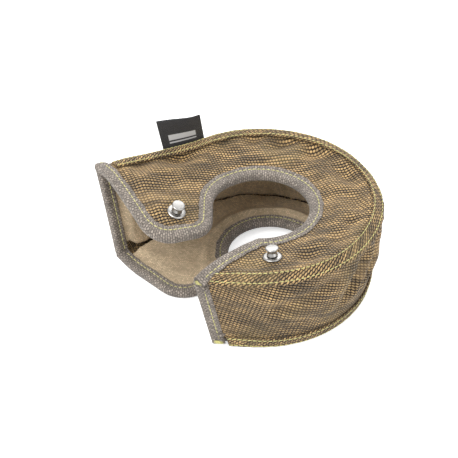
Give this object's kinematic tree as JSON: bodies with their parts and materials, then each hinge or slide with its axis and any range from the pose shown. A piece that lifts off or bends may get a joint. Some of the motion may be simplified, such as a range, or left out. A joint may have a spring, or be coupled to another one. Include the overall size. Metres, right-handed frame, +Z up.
{
  "type": "turbocharger heat blanket",
  "caption": "C-shaped padded heat blanket for a turbine housing: two quilted panels joined by a side band, open round the hole, with bound edges and steel lacing anchors.",
  "frame": {"origin": "middle of the overall box, on the plane that the blanket lies on", "axes": "+X along the longest side, from the straight leg's end towards the round back of the ring; +Z up, from the lower panel to the upper one"},
  "size_m": [0.1878, 0.1588, 0.0893],
  "materials": {
    "twill": "golden-brown basalt twill, slight sheen",
    "batting": "off-white silica needle mat",
    "liner": "tan silica liner cloth, matt",
    "binding": "grey-brown knitted edge binding",
    "satin": "black woven satin",
    "steel": "stainless steel, turned"
  },
  "bodies": {
    "root": {"upper_shell": "twill", "upper_batting": "batting", "upper_liner": "liner", "lower_shell": "twill", "lower_batting": "batting", "lower_liner": "liner", "side_shell": "twill", "side_batting": "batting", "side_liner": "liner", "upper_seam_welt": "twill", "lower_seam_welt": "twill", "upper_binding": "binding", "lower_binding": "binding", "left_end_binding": "binding", "front_end_binding": "binding", "label": "satin", "left_anchor_spool": "steel", "left_anchor_washer": "steel", "left_anchor_back_washer": "steel", "front_anchor_spool": "steel", "front_anchor_washer": "steel", "front_anchor_back_washer": "steel"}
  },
  "joints": []
}
